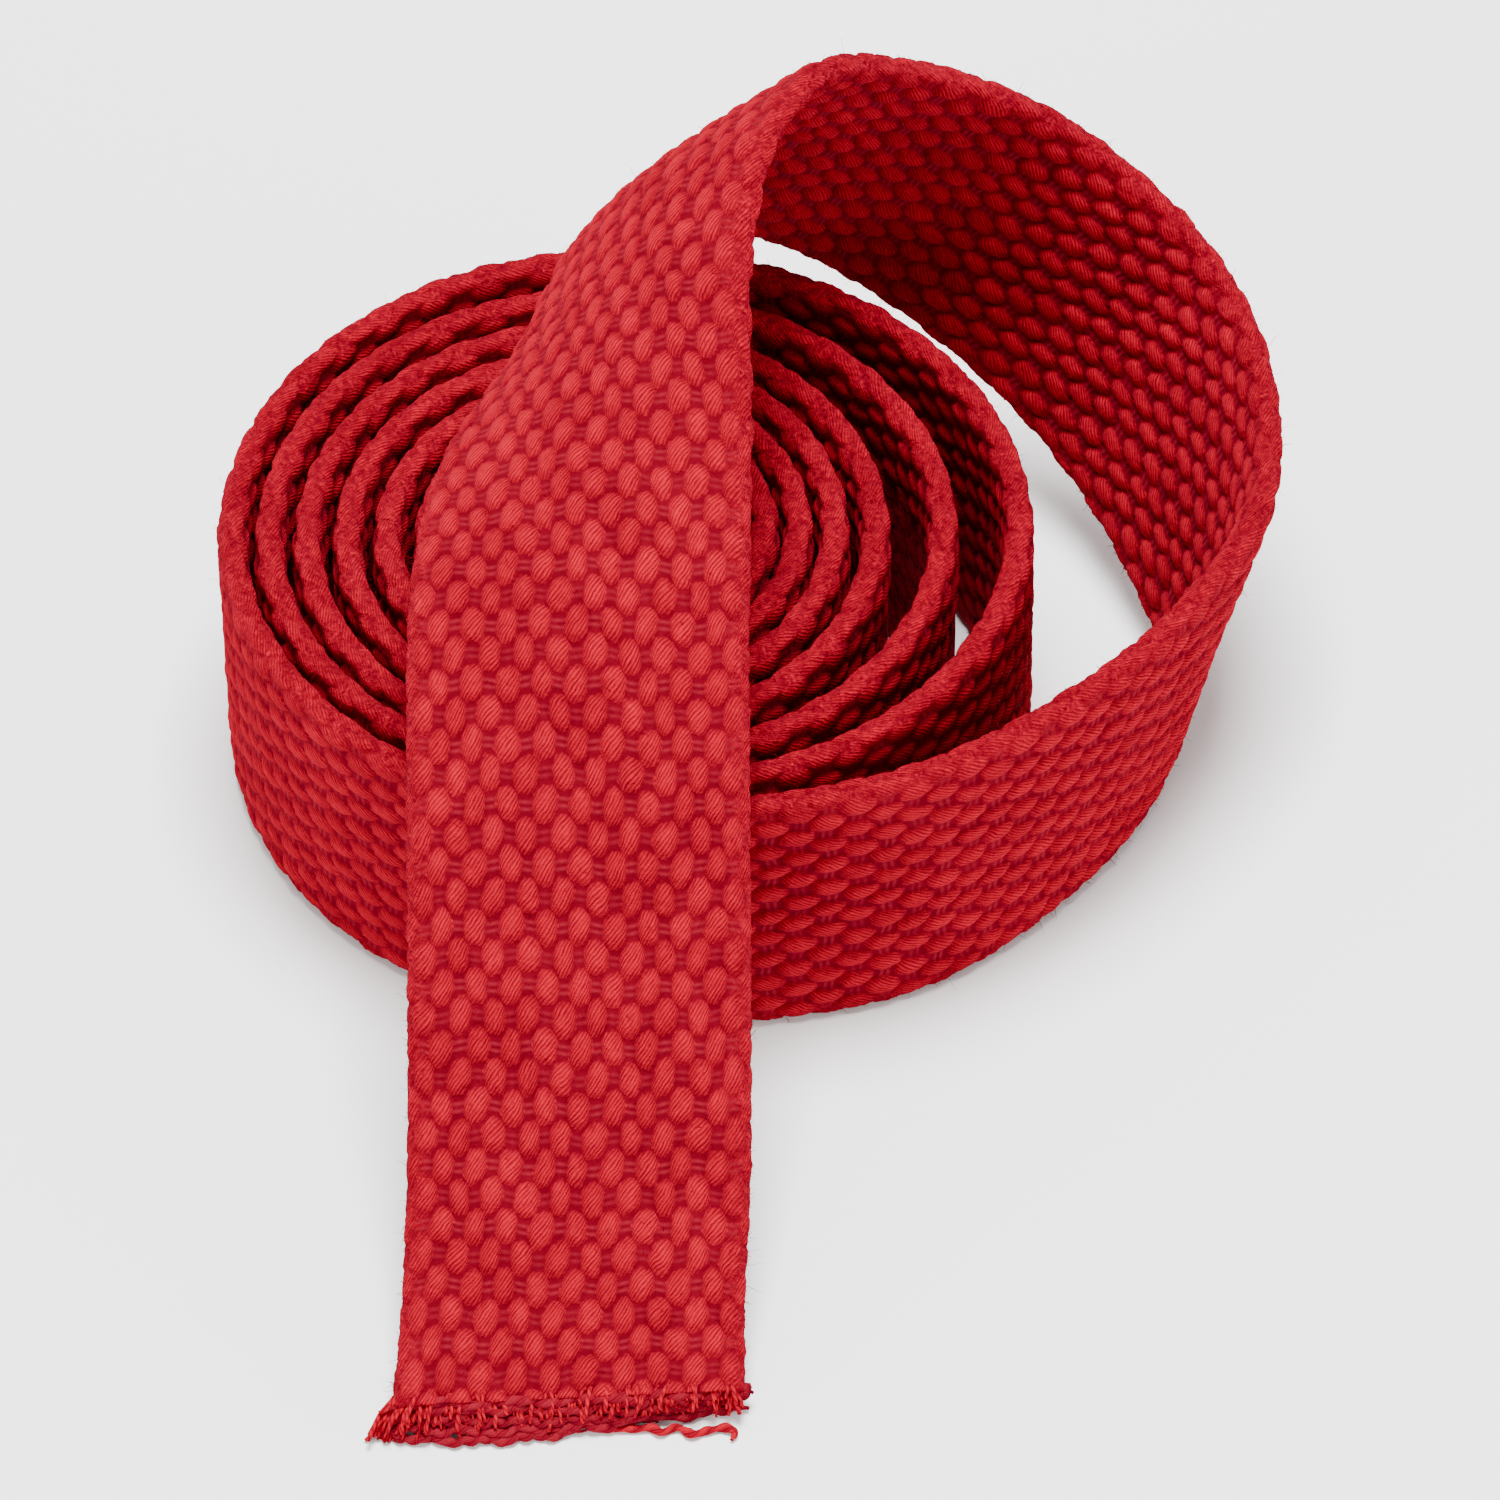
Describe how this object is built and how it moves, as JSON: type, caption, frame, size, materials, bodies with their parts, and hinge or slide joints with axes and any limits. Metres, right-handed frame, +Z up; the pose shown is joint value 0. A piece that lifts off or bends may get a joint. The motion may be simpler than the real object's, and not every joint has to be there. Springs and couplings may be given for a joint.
{
  "type": "roll of cotton webbing",
  "caption": "Roll of thick red cotton webbing lying on its edge, with the loose end looped round one side and over the top, down to a frayed cut end.",
  "frame": {"origin": "on the roll's winding axis, at the underside of its lower selvedge, where the inner end of the strap crosses the axis", "axes": "+Z up along the winding axis, -Y towards the cut end, +X towards the loop of the loose end"},
  "size_m": [0.0946, 0.1205, 0.0617],
  "materials": {
    "cotton_webbing": "matte plain weave of thick red cotton yarn"
  },
  "bodies": {
    "root": {"wound_roll": "cotton_webbing", "loose_end": "cotton_webbing"}
  },
  "joints": []
}
